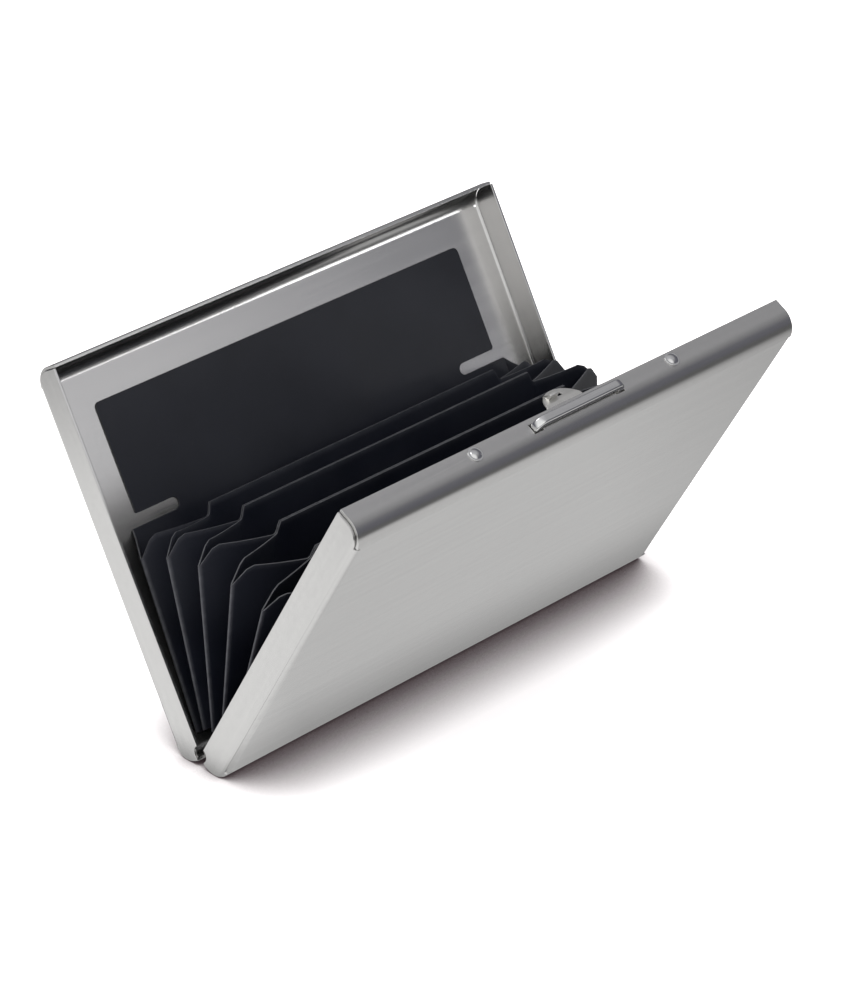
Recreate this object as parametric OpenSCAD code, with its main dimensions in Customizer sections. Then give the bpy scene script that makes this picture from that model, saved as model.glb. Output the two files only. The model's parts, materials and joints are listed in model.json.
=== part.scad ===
// Hinged steel card case: two sprung-together shells with a six-pocket folding card insert.
// Millimetres. Z is up, X runs along the hinge, the front shell leans to -Y.
// The origin is on the table, midway between the two bottom bends the open case stands on.

/* [Shells] */
// Width of each shell along the hinge
case_w = 95; // [92:0.5:104]
// Height of each shell from bottom bend to top bend
case_h = 64.4; // [62:0.2:72]
// Depth of one shell, half the thickness of the closed case
shell_d = 5.6; // [5.4:0.1:6.4]
// Thickness of the steel sheet
sheet_t = 0.5; // [0.4:0.05:0.55]
// Outside radius of the long top and bottom bends
bend_r = 3.4; // [3:0.1:3.8]
// Outside radius of the short end bends
end_bend_r = 1.2; // [1:0.1:1.3]
// How far the edges of the end flanges stand in from the long bends
corner_gap = 0.55; // [0.55:0.05:0.9]
// Gap left between the two closed rims
rim_gap = 0.2; // [0.1:0.05:0.4]

/* [Opening] */
// Angle between the two shells as they stand open
open_angle = 58.4; // [30:0.2:60]

/* [Hinge] */
// Diameter of the wire pin
pin_d = 0.9; // [0.8:0.05:1]
// Number of rolled knuckles, shared out between the shells
knuckles = 9; // [5:2:13]
// Axial gap between neighbouring knuckles
knuckle_gap = 0.3; // [0.2:0.05:0.5]

/* [Latch] */
// Distance between the two rivets
rivet_span = 42.6; // [36:0.2:50]
// Diameter of the rivet heads
rivet_d = 2.5; // [2.2:0.1:2.8]
// Length of the raised thumb bar
bar_len = 19.2; // [16:0.2:22]
// Width of the thumb bar
bar_w = 1.4; // [1.2:0.1:1.5]
// Height of the thumb bar above the flange
bar_rise = 1.8; // [1.7:0.1:2.1]
// Radius of the half-moon tab
tab_r = 3.9; // [3.4:0.1:4.2]
// Downward slope of the tab's nose
nose_slope = 22; // [15:1:25]

/* [Card insert] */
// Number of pockets
pockets = 6; // [6:1:6]
// How far the middle dividers lean towards the front, in pockets
fan_skew = 0.25; // [0:0.05:0.3]
// Thickness of one pocket wall
wall_t = 0.3; // [0.25:0.05:0.35]
// Height of the pocket walls' straight top edge
wall_top = 36; // [32:0.2:40]
// Half width of the part of the walls that is glued flat
wall_flat = 32; // [28:0.5:33]
// Half width out to the folded side creases
crease_x = 44; // [43.4:0.1:44.6]
// Height of the side creases
crease_top = 31.5; // [27:0.5:32]
// Half width of the tongue glued to the shell
tongue_x = 39.4; // [36:0.2:40]
// Height of the tongue's top edge
tongue_top = 56.2; // [50:0.2:58]

/* [Hidden] */
$fn = 64;

steel = [0.72, 0.72, 0.7];
bright_steel = [0.82, 0.82, 0.82];
black_sheet = [0.07, 0.07, 0.08];

half_open = open_angle / 2;
pin_fit = 0.05;
pin_z = pin_d / 2 + pin_fit + sheet_t;
flat_x = case_w / 2 - end_bend_r;
lip_x = case_w / 2 - 0.4;
foot_x = case_w / 2 - 0.2;
foot_inset = 0.1;
notch_r = 1.35;
flange_cut = pin_z + 0.25;
knuckle_pitch = 2 * (flat_x - knuckle_gap) / knuckles;
curl_gap = 0.35;

// Height of the pin above the table when the case rests on its two bottom bends.
pin_h = bend_r - (bend_r - pin_z) * cos(half_open) + (shell_d - bend_r) * sin(half_open);

// The closed pockets share the depth between the two glued panels.
panel_y = shell_d - sheet_t - 0.05;
pocket_gap = (2 * (panel_y - wall_t) - 2 * (pockets - 1) * wall_t) / pockets;
pocket_pitch = pocket_gap + 2 * wall_t;
wall_low = bend_r - 0.3;
fold_low = wall_low + 0.2;
shoulder_top = wall_top - 2;
slot_low = wall_top + 0.1;
slot_h = 2;
slot_x = 31;
panel_x = 41;
tongue_r = 0.9;

// Latch levels, in the closed shell.
strip_t = 0.3;
strip_top = case_h - sheet_t - 0.12;
strip_in = -0.25;
strip_out = -2.85;
strip_end = rivet_span / 2 + 2;
rivet_y = -1.55;
rivet_hole = 0.62;
tab_half = bar_len / 2 + 0.6;
tab_x = -0.4;
tab_y = -0.75;
nose_y = 0.6;
bar_y = -1.9;
bar_t = 1.1;
bar_bend = 1.9;
slot_clear = 0.15;

// The slots reach this much further inwards, to let the bar's curved ends sink through.
bar_bow = 0.5;
barb_x = -1.5;
barb_w = 1.8;
barb_y = 1.6;
barb_top = case_h - 0.12;

// Angle and closed position of a line in the fan; 0 is the rear panel, the pocket count the front panel.
function fan_share(c) = (c + fan_skew * sin(180 * pow(c / pockets, 1.7))) / pockets;
function fan_angle(c) = -half_open + open_angle * fan_share(c);
function fan_y(c) = panel_y - wall_t - pocket_gap / 2 - (c - 0.5) * pocket_pitch;
function fan_point(c, off, x, z) = [
    x,
    (fan_y(c) + off) * cos(fan_angle(c)) - (z - pin_z) * sin(fan_angle(c)),
    (fan_y(c) + off) * sin(fan_angle(c)) + (z - pin_z) * cos(fan_angle(c)) + pin_h];

// Turns something drawn in the closed case about the pin, to where it stands in the open case.
module turned(a) {
    translate([0, 0, pin_h]) {
        rotate([a, 0, 0]) {
            translate([0, 0, -pin_z]) {
                children();
            }
        }
    }
}

// Extrudes a YZ outline along X.
module along_x(x0, x1) {
    translate([x0, 0, 0]) {
        rotate([90, 0, 90]) {
            linear_extrude(height = x1 - x0) {
                children();
            }
        }
    }
}

// Extrudes an XZ outline along Y.
module along_y(y0, y1) {
    translate([0, y1, 0]) {
        rotate([90, 0, 0]) {
            linear_extrude(height = y1 - y0) {
                children();
            }
        }
    }
}

// Cross-section of the whole closed case, drawn in by an inset.
module case_section(inset) {
    half_w = shell_d - inset;
    half_h = case_h / 2 - inset;
    r = bend_r - inset;
    translate([0, case_h / 2]) {
        square([2 * half_w, 2 * (half_h - r)], center = true);
        square([2 * (half_w - r), 2 * half_h], center = true);
        for (sy = [-1, 1], sz = [-1, 1]) {
            translate([sy * (half_w - r), sz * (half_h - r)]) {
                circle(r = r);
            }
        }
    }
}

// The long bent sheet of the rear shell: bottom flange, face and top flange.
module long_section() {
    difference() {
        case_section(0);
        case_section(sheet_t);
        translate([-case_h, -1]) {
            square([case_h + flange_cut, case_h / 2 + 1]);
        }
        translate([-case_h, case_h / 2 - 1]) {
            square([case_h + rim_gap / 2, case_h]);
        }
    }
}

// Outline that trims an end flange: under the top bend, down to the bottom bend, clear of rim and hinge.
module end_section() {
    difference() {
        union() {
            case_section(corner_gap);
            intersection() {
                case_section(foot_inset);
                translate([-case_h, 0]) {
                    square([2 * case_h, case_h / 2]);
                }
            }
            translate([shell_d - corner_gap - 0.1, bend_r]) {
                square([corner_gap + 1, case_h - 2 * bend_r]);
            }
        }
        translate([-case_h, -1]) {
            square([case_h + rim_gap / 2, case_h + 2]);
        }
        translate([0, pin_z]) {
            circle(r = notch_r);
        }
        translate([-1, -1]) {
            square([1 + flange_cut, 1 + pin_z]);
        }
    }
}

// Plan of one end: a quarter bend and the flat end flange.
module end_plan() {
    intersection() {
        translate([flat_x, shell_d - end_bend_r]) {
            difference() {
                circle(r = end_bend_r);
                circle(r = end_bend_r - sheet_t);
            }
        }
        translate([flat_x, shell_d - end_bend_r]) {
            square(2 * end_bend_r);
        }
    }
    translate([case_w / 2 - sheet_t, 0]) {
        square([sheet_t, shell_d - end_bend_r]);
    }
    translate([flat_x - 0.3, shell_d - sheet_t]) {
        square([0.3, sheet_t]);
    }
}

// One rolled knuckle with the tongue of flange that leads to it.
module knuckle_section() {
    difference() {
        union() {
            translate([0, pin_z]) {
                circle(r = pin_z);
            }
            square([flange_cut + 0.2, sheet_t]);
        }
        translate([0, pin_z]) {
            circle(r = pin_d / 2 + pin_fit);
        }
        translate([0, sheet_t]) {
            square([2 * pin_z, curl_gap]);
        }
    }
}

// A stamped shell in the closed case, on the +Y side, with every second knuckle.
module stamped_shell(first) {
    difference() {
        along_x(-foot_x, foot_x) {
            long_section();
        }
        for (s = [0, 1]) {
            mirror([s, 0, 0]) {
                translate([flat_x, -1, bend_r - 0.4]) {
                    cube([2 * end_bend_r, shell_d + 2, case_h - 2 * bend_r + 0.7]);
                }
                translate([lip_x, -1, case_h - bend_r]) {
                    cube([2 * end_bend_r, shell_d + 2, 2 * bend_r]);
                }
            }
        }
    }
    for (s = [0, 1]) {
        mirror([s, 0, 0]) {
            intersection() {
                linear_extrude(height = case_h) {
                    end_plan();
                }
                along_x(flat_x - 1, case_w) {
                    end_section();
                }
            }
        }
    }
    for (k = [first:2:knuckles - 1]) {
        x0 = -flat_x + knuckle_gap + k * knuckle_pitch;
        along_x(x0 + knuckle_gap / 2, x0 + knuckle_pitch - knuckle_gap / 2) {
            knuckle_section();
        }
    }
}

// Rear shell, with the window in its top flange that catches the barb.
module rear_shell() {
    color(steel) {
        turned(-half_open) {
            difference() {
                stamped_shell(1);
                translate([barb_x - barb_w / 2 - 0.4, barb_y - 0.25, case_h - 1.5]) {
                    cube([barb_w + 0.8, 1.7, 2]);
                }
            }
        }
    }
}

// Front shell, with rivet holes and the two slots the thumb bar's feet pass through.
module front_shell() {
    color(steel) {
        turned(half_open) {
            difference() {
                mirror([0, 1, 0]) {
                    stamped_shell(0);
                }
                for (sx = [-1, 1]) {
                    translate([sx * rivet_span / 2, rivet_y, case_h - 2]) {
                        cylinder(r = rivet_hole + 0.03, h = 3);
                    }
                    translate([sx * (bar_len - bar_t - bar_bow) / 2, bar_y, case_h]) {
                        cube([bar_t + bar_bow + 2 * slot_clear, bar_w + 2 * slot_clear, 4], center = true);
                    }
                }
            }
        }
    }
}

// Plain wire through all the knuckles.
module hinge_pin() {
    color(bright_steel) {
        turned(-half_open) {
            translate([-flat_x - 0.2, 0, pin_z]) {
                rotate([0, 90, 0]) {
                    cylinder(d = pin_d, h = 2 * (flat_x + 0.2));
                }
            }
        }
    }
}

// Rimmed and domed head, shank and set inner head of each rivet.
module rivets() {
    rim_h = 0.18;
    dome_h = 0.34;
    dome_d = rivet_d - 0.6;
    dome_r = (pow(dome_d / 2, 2) + pow(dome_h, 2)) / (2 * dome_h);
    color(bright_steel) {
        turned(half_open) {
            for (sx = [-1, 1]) {
                translate([sx * rivet_span / 2, rivet_y, 0]) {
                    intersection() {
                        translate([0, 0, case_h + rim_h + dome_h - dome_r]) {
                            sphere(r = dome_r);
                        }
                        translate([0, 0, case_h]) {
                            cylinder(d = dome_d, h = rim_h + dome_h);
                        }
                    }
                    translate([0, 0, case_h]) {
                        cylinder(d = rivet_d, h = rim_h);
                    }
                    translate([0, 0, strip_top - strip_t - 0.4]) {
                        cylinder(r = rivet_hole, h = case_h - strip_top + strip_t + 0.5);
                        cylinder(d = rivet_d - 0.5, h = 0.4);
                    }
                }
            }
        }
    }
}

// Arms of the spring strip, from the rivets to the tab.
module spring_arms() {
    color(bright_steel) {
        turned(half_open) {
            for (s = [0, 1]) {
                mirror([s, 0, 0]) {
                    translate([0, 0, strip_top - strip_t]) {
                        linear_extrude(height = strip_t) {
                            difference() {
                                translate([tab_half, strip_out]) {
                                    square([strip_end - tab_half, strip_in - strip_out]);
                                }
                                translate([rivet_span / 2, rivet_y]) {
                                    circle(r = rivet_hole + 0.03);
                                }
                            }
                        }
                    }
                }
            }
        }
    }
}

// Plan of the strip's middle: a plain rectangle with the half-moon tab beyond it.
module tab_plan() {
    translate([-tab_half, strip_out]) {
        square([2 * tab_half, strip_in - strip_out]);
    }
    intersection() {
        translate([tab_x, tab_y]) {
            circle(r = tab_r);
        }
        translate([-tab_half, strip_in - 0.1]) {
            square([2 * tab_half, 2 * tab_r]);
        }
    }
}

// Middle of the spring strip with the half-moon tab, its sloping nose and the barb.
module latch_tab() {
    tip_y = tab_y + tab_r + 0.5;
    tip_top = strip_top - (tip_y - nose_y) * tan(nose_slope);
    barb_base = strip_top - (barb_y - nose_y) * tan(nose_slope) - strip_t / 2;
    ramp_y = barb_y + 1;
    ramp_base = barb_base - (ramp_y - barb_y) * tan(nose_slope);
    color(bright_steel) {
        turned(half_open) {
            difference() {
                intersection() {
                    translate([0, 0, strip_top - 3]) {
                        linear_extrude(height = 4) {
                            tab_plan();
                        }
                    }
                    along_x(-tab_half - 1, tab_half + 1) {
                        polygon([
                            [strip_out - 1, strip_top],
                            [strip_out - 1, strip_top - strip_t],
                            [nose_y, strip_top - strip_t],
                            [tip_y, tip_top - strip_t],
                            [tip_y, tip_top],
                            [nose_y, strip_top]]);
                    }
                }
                translate([barb_x + barb_w / 2 + 0.2, barb_y - 0.1, strip_top - 3]) {
                    cube([0.9, 0.9, 4]);
                }
            }
            along_x(barb_x - barb_w / 2, barb_x + barb_w / 2) {
                polygon([
                    [barb_y, barb_base],
                    [ramp_y, ramp_base],
                    [ramp_y, ramp_base + strip_t],
                    [barb_y + 0.35, barb_top],
                    [barb_y, barb_top]]);
            }
        }
    }
}

// Raised bridge bar the thumb presses, with a foot at each end.
module thumb_bar() {
    inner = bar_bend - bar_t;
    color(bright_steel) {
        turned(half_open) {
            along_y(bar_y - bar_w / 2, bar_y + bar_w / 2) {
                for (s = [0, 1]) {
                    mirror([s, 0]) {
                        translate([-0.1, case_h + bar_rise - bar_t]) {
                            square([bar_len / 2 - bar_bend + 0.1, bar_t]);
                        }
                        translate([bar_len / 2 - bar_t, strip_top]) {
                            square([bar_t, case_h + bar_rise - bar_bend - strip_top]);
                        }
                        intersection() {
                            translate([bar_len / 2 - bar_bend, case_h + bar_rise - bar_bend]) {
                                difference() {
                                    circle(r = bar_bend);
                                    circle(r = inner);
                                }
                            }
                            translate([bar_len / 2 - bar_bend, case_h + bar_rise - bar_bend]) {
                                square(bar_bend);
                            }
                        }
                    }
                }
            }
        }
    }
}

// Flat glued part of a pocket wall, with its eased upper corners.
module wall_outline() {
    ease = 1.3;
    translate([-wall_flat, wall_low]) {
        square([2 * wall_flat, wall_top - ease - wall_low]);
    }
    translate([-wall_flat + ease, wall_low]) {
        square([2 * (wall_flat - ease), wall_top - wall_low]);
    }
    for (sx = [-1, 1]) {
        translate([sx * (wall_flat - ease), wall_top - ease]) {
            circle(r = ease);
        }
    }
}

// Panel glued to a shell: wall, neck between two slots, and round-cornered tongue.
module panel_outline() {
    translate([-panel_x, wall_low]) {
        square([2 * panel_x, slot_low - wall_low]);
    }
    difference() {
        translate([-slot_x - slot_h, slot_low - 0.1]) {
            square([2 * (slot_x + slot_h), slot_h + 0.2]);
        }
        for (sx = [-1, 1]) {
            translate([sx * (slot_x + slot_h / 2), slot_low + slot_h / 2]) {
                circle(d = slot_h);
            }
            translate([sx * (slot_x + slot_h) - slot_h / 2, slot_low]) {
                square([slot_h, slot_h]);
            }
        }
    }
    translate([0, (slot_low + slot_h + tongue_top) / 2]) {
        square([2 * tongue_x, tongue_top - slot_low - slot_h - 2 * tongue_r], center = true);
        square([2 * (tongue_x - tongue_r), tongue_top - slot_low - slot_h], center = true);
        for (sx = [-1, 1], sz = [-1, 1]) {
            translate([sx * (tongue_x - tongue_r), sz * ((tongue_top - slot_low - slot_h) / 2 - tongue_r)]) {
                circle(r = tongue_r);
            }
        }
    }
}

// Rear wall of pocket k; the first is the panel glued to the rear shell.
module pocket_rear(k) {
    color(black_sheet) {
        turned(fan_angle(k - 1)) {
            if (k == 1) {
                along_y(panel_y - wall_t, panel_y) {
                    panel_outline();
                }
            } else {
                along_y(fan_y(k - 1) - wall_t, fan_y(k - 1)) {
                    wall_outline();
                }
            }
        }
    }
}

// Front wall of pocket k with its bottom fold; the last is the panel glued to the front shell.
module pocket_front(k) {
    color(black_sheet) {
        turned(fan_angle(k)) {
            translate([-wall_flat, fan_y(k) + wall_t - 0.05, wall_low]) {
                cube([2 * wall_flat, pocket_gap - 0.05, wall_t]);
            }
            if (k == pockets) {
                along_y(-panel_y, wall_t - panel_y) {
                    panel_outline();
                }
            } else {
                along_y(fan_y(k), fan_y(k) + wall_t) {
                    wall_outline();
                }
            }
        }
    }
}

// Four corners of an upright sheet at one place along X.
function wall_ring(c, off, x, top) = [
    fan_point(c, off - wall_t / 2, x, fold_low),
    fan_point(c, off - wall_t / 2, x, top),
    fan_point(c, off + wall_t / 2, x, top),
    fan_point(c, off + wall_t / 2, x, fold_low)];

// Thin sheet joined through rings of four corners. Both faces are split along the same diagonal.
module folded_sheet(rings) {
    last = 4 * (len(rings) - 1);
    sides = [for (i = [0:4:last - 4], j = [0:3], h = [0, 1])
        let (a = i + j, b = i + (j + 1) % 4)
        j < 2 ? (h == 0 ? [a, b, b + 4] : [a, b + 4, a + 4]) : (h == 0 ? [a, b, a + 4] : [b, b + 4, a + 4])];
    ends = [[2, 1, 0], [3, 2, 0], [last, last + 1, last + 2], [last, last + 2, last + 3]];
    polyhedron(points = [for (r = rings, p = r) p], faces = concat(sides, ends));
}

// Folded side gussets of pocket k.
module pocket_bellows(k) {
    rear_edge = k == 1 ? panel_x : wall_flat;
    front_edge = k == pockets ? panel_x : wall_flat;
    half = wall_t / 2;
    color(black_sheet) {
        for (s = [0, 1]) {
            mirror([s, 0, 0]) {
                folded_sheet([
                    wall_ring(k - 1, -half, rear_edge + 0.05, shoulder_top),
                    wall_ring(k - 0.6, half, crease_x - 1.5, shoulder_top - 0.4),
                    wall_ring(k - 0.5, half + 0.02, crease_x, crease_top)]);
                folded_sheet([
                    wall_ring(k, half, front_edge + 0.05, shoulder_top),
                    wall_ring(k - 0.4, -half, crease_x - 1.5, shoulder_top - 0.4),
                    wall_ring(k - 0.5, -half - 0.02, crease_x, crease_top)]);
            }
        }
    }
}

rear_shell();
front_shell();
hinge_pin();
rivets();
spring_arms();
latch_tab();
thumb_bar();
for (k = [1:pockets]) {
    pocket_rear(k);
    pocket_front(k);
    pocket_bellows(k);
}
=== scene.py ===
import json
import math
import bmesh
import bpy
from mathutils import Matrix, Vector
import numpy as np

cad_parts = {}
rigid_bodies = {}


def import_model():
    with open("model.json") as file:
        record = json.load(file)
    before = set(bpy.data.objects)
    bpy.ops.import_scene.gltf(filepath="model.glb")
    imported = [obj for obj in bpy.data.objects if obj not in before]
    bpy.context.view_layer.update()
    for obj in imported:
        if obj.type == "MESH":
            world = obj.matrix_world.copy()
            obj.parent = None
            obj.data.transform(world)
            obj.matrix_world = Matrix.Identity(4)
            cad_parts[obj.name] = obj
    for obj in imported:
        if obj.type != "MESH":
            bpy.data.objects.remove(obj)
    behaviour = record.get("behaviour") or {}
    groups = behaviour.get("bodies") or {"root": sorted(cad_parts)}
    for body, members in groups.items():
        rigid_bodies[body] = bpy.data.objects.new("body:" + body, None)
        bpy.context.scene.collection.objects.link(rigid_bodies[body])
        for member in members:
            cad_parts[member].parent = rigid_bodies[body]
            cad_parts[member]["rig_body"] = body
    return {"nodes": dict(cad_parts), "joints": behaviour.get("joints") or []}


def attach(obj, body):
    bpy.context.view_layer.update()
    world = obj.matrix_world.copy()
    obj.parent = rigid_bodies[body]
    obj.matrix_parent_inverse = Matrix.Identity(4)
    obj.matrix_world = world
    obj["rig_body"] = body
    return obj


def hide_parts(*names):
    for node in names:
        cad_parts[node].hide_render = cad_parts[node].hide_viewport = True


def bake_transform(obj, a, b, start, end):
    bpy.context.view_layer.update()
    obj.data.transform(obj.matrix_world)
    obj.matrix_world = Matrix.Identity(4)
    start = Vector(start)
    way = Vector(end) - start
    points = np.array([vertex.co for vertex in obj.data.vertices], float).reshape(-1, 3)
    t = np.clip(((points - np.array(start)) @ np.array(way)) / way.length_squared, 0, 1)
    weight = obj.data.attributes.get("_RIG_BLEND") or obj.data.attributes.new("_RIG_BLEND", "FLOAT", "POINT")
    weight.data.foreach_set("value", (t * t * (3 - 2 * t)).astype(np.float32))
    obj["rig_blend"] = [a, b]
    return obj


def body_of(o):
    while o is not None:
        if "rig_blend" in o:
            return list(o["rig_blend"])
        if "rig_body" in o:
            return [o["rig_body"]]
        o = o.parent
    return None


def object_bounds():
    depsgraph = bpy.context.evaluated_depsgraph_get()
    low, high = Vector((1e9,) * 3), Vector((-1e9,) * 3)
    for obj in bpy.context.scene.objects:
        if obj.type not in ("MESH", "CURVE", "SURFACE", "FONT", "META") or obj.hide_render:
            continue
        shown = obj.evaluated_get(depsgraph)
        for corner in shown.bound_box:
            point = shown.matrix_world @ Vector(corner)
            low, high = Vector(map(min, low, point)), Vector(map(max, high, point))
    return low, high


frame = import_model()
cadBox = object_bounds()
nodes = frame["nodes"]
print("stage: frame loaded,", len(nodes), "parts")


# small helpers

def mmVec(x, y, z):
    return Vector((x, y, z)) * 0.001


def meshPiece(name, bm, materials, smooth=True):
    # writes a bmesh into a new object with its materials
    mesh = bpy.data.meshes.new(name)
    bmesh.ops.recalc_face_normals(bm, faces=bm.faces)
    bm.to_mesh(mesh)
    bm.free()
    for m in materials:
        mesh.materials.append(m)
    for p in mesh.polygons:
        p.use_smooth = smooth
    piece = bpy.data.objects.new(name, mesh)
    bpy.context.scene.collection.objects.link(piece)
    return piece


def bakeModifiers(piece):
    # keeps the shape that the modifiers make as the piece's own mesh
    graph = bpy.context.evaluated_depsgraph_get()
    made = bpy.data.meshes.new_from_object(piece.evaluated_get(graph), depsgraph=graph)
    piece.modifiers.clear()
    piece.data = made
    return piece


def easeIn(t):
    t = max(0.0, min(1.0, t))
    return t * t * (3 - 2 * t)


# the case, closed, in millimetres

case = {
    "height": 64.4,
    "depth": 5.6,       # one shell
    "bend": 3.4,        # outside radius of the long bends
    "pinLevel": 1.0,    # pin centre above the closed case's bottom
}
hinge = [j for j in frame["joints"] if j["name"] == "case_hinge"][0]
pinHeight = hinge["pos_m"][2] * 1000
halfOpen = math.radians(-hinge["range_deg"][0]) / 2


def standing(angle, x, y, z):
    # a point of the closed case, turned about the pin to where it stands open
    c, s = math.cos(angle), math.sin(angle)
    up = z - case["pinLevel"]
    return mmVec(x, y * c - up * s, y * s + up * c + pinHeight)


def lyingDown(angle, p):
    # the other way: from the open case back into the closed one, in millimetres
    c, s = math.cos(-angle), math.sin(-angle)
    y, up = p.y * 1000, p.z * 1000 - pinHeight
    return p.x * 1000, y * c - up * s, y * s + up * c + case["pinLevel"]


# shared shader groups

def socketOf(tree, inOut, kind, name, value=None, low=None, high=None):
    s = tree.interface.new_socket(name=name, in_out=inOut, socket_type=kind)
    if value is not None:
        s.default_value = value
    if low is not None:
        s.min_value = low
    if high is not None:
        s.max_value = high
    return s


def addNode(tree, kind, x, y, **settings):
    n = tree.nodes.new(kind)
    n.location = (x, y)
    for key, value in settings.items():
        setattr(n, key, value)
    return n


def mathNode(tree, operation, x, y, a=None, b=None, clamp=False):
    n = addNode(tree, "ShaderNodeMath", x, y, operation=operation, use_clamp=clamp)
    for i, v in enumerate((a, b)):
        if v is None:
            continue
        if isinstance(v, (int, float)):
            n.inputs[i].default_value = v
        else:
            tree.links.new(v, n.inputs[i])
    return n.outputs[0]


def rangeNode(tree, x, y, value, low, high, toLow, toHigh):
    n = addNode(tree, "ShaderNodeMapRange", x, y)
    tree.links.new(value, n.inputs["Value"])
    for key, v in (("From Min", low), ("From Max", high), ("To Min", toLow), ("To Max", toHigh)):
        n.inputs[key].default_value = v
    return n.outputs["Result"]


def noiseNode(tree, x, y, vector, scale, detail=2.0, rough=0.5, distortion=0.0):
    n = addNode(tree, "ShaderNodeTexNoise", x, y)
    tree.links.new(vector, n.inputs["Vector"])
    n.inputs["Scale"].default_value = scale
    n.inputs["Detail"].default_value = detail
    n.inputs["Roughness"].default_value = rough
    n.inputs["Distortion"].default_value = distortion
    return n.outputs["Fac"]


def stretchNode(tree, x, y, vector, along, across):
    n = addNode(tree, "ShaderNodeMapping", x, y)
    tree.links.new(vector, n.inputs["Vector"])
    n.inputs["Scale"].default_value = (along, across, 1.0)
    return n.outputs["Vector"]


def buildBrushGrain():
    # long hairlines left by a brushing belt: fine lines, soft bands and slow clouds
    tree = bpy.data.node_groups.new("brushGrain", "ShaderNodeTree")
    socketOf(tree, "INPUT", "NodeSocketVector", "Sheet")
    socketOf(tree, "INPUT", "NodeSocketFloat", "Line Spacing", 0.12, 0.01, 5.0)
    socketOf(tree, "INPUT", "NodeSocketFloat", "Line Length", 12.0, 0.1, 200.0)
    socketOf(tree, "OUTPUT", "NodeSocketFloat", "Lines")
    socketOf(tree, "OUTPUT", "NodeSocketFloat", "Bands")
    socketOf(tree, "OUTPUT", "NodeSocketFloat", "Clouds")
    groupIn = addNode(tree, "NodeGroupInput", -900, 0)
    groupOut = addNode(tree, "NodeGroupOutput", 500, 0)
    split = addNode(tree, "ShaderNodeSeparateXYZ", -700, 0)
    tree.links.new(groupIn.outputs["Sheet"], split.inputs[0])
    # the sheet comes in metres, the spacing and length in millimetres
    along = mathNode(tree, "DIVIDE", -520, 120, split.outputs[0], groupIn.outputs["Line Length"])
    across = mathNode(tree, "DIVIDE", -520, -60, split.outputs[1], groupIn.outputs["Line Spacing"])
    along = mathNode(tree, "MULTIPLY", -360, 120, along, 1000.0)
    across = mathNode(tree, "MULTIPLY", -360, -60, across, 1000.0)
    lines = addNode(tree, "ShaderNodeCombineXYZ", -200, 80)
    tree.links.new(along, lines.inputs[0])
    tree.links.new(across, lines.inputs[1])
    fine = noiseNode(tree, 0, 160, lines.outputs[0], 1.0, 3.0, 0.65)
    bandSpace = stretchNode(tree, -200, -120, lines.outputs[0], 0.3, 0.07)
    bands = noiseNode(tree, 0, -60, bandSpace, 1.0, 3.0, 0.55)
    clouds = noiseNode(tree, 0, -260, groupIn.outputs["Sheet"], 45.0, 2.0, 0.5)
    tree.links.new(rangeNode(tree, 220, 160, fine, 0.3, 0.7, 0.0, 1.0), groupOut.inputs["Lines"])
    tree.links.new(rangeNode(tree, 220, -60, bands, 0.3, 0.7, 0.0, 1.0), groupOut.inputs["Bands"])
    tree.links.new(rangeNode(tree, 220, -260, clouds, 0.3, 0.7, 0.0, 1.0), groupOut.inputs["Clouds"])
    return tree


def buildEdgeWear():
    # a mask of the raised edges, broken up as handling rubs them bright
    tree = bpy.data.node_groups.new("edgeWear", "ShaderNodeTree")
    socketOf(tree, "INPUT", "NodeSocketVector", "Place")
    socketOf(tree, "INPUT", "NodeSocketFloat", "Breakup Scale", 900.0, 1.0, 9000.0)
    socketOf(tree, "INPUT", "NodeSocketFloat", "Reach", 0.12, 0.0, 1.0)
    socketOf(tree, "OUTPUT", "NodeSocketFloat", "Mask")
    groupIn = addNode(tree, "NodeGroupInput", -700, 0)
    groupOut = addNode(tree, "NodeGroupOutput", 500, 0)
    shape = addNode(tree, "ShaderNodeNewGeometry", -700, -180)
    raised = rangeNode(tree, -480, -180, shape.outputs["Pointiness"], 0.5, 0.62, 0.0, 1.0)
    breakup = addNode(tree, "ShaderNodeTexNoise", -480, 80)
    tree.links.new(groupIn.outputs["Place"], breakup.inputs["Vector"])
    tree.links.new(groupIn.outputs["Breakup Scale"], breakup.inputs["Scale"])
    breakup.inputs["Detail"].default_value = 3.0
    broken = mathNode(tree, "MULTIPLY", -260, 80, breakup.outputs["Fac"], 1.3)
    rubbed = mathNode(tree, "MULTIPLY", -60, 0, raised, broken)
    reach = mathNode(tree, "MULTIPLY", -60, -180, groupIn.outputs["Reach"], 4.0)
    masked = mathNode(tree, "MULTIPLY", 140, 0, rubbed, reach, clamp=True)
    tree.links.new(masked, groupOut.inputs["Mask"])
    return tree


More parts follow.
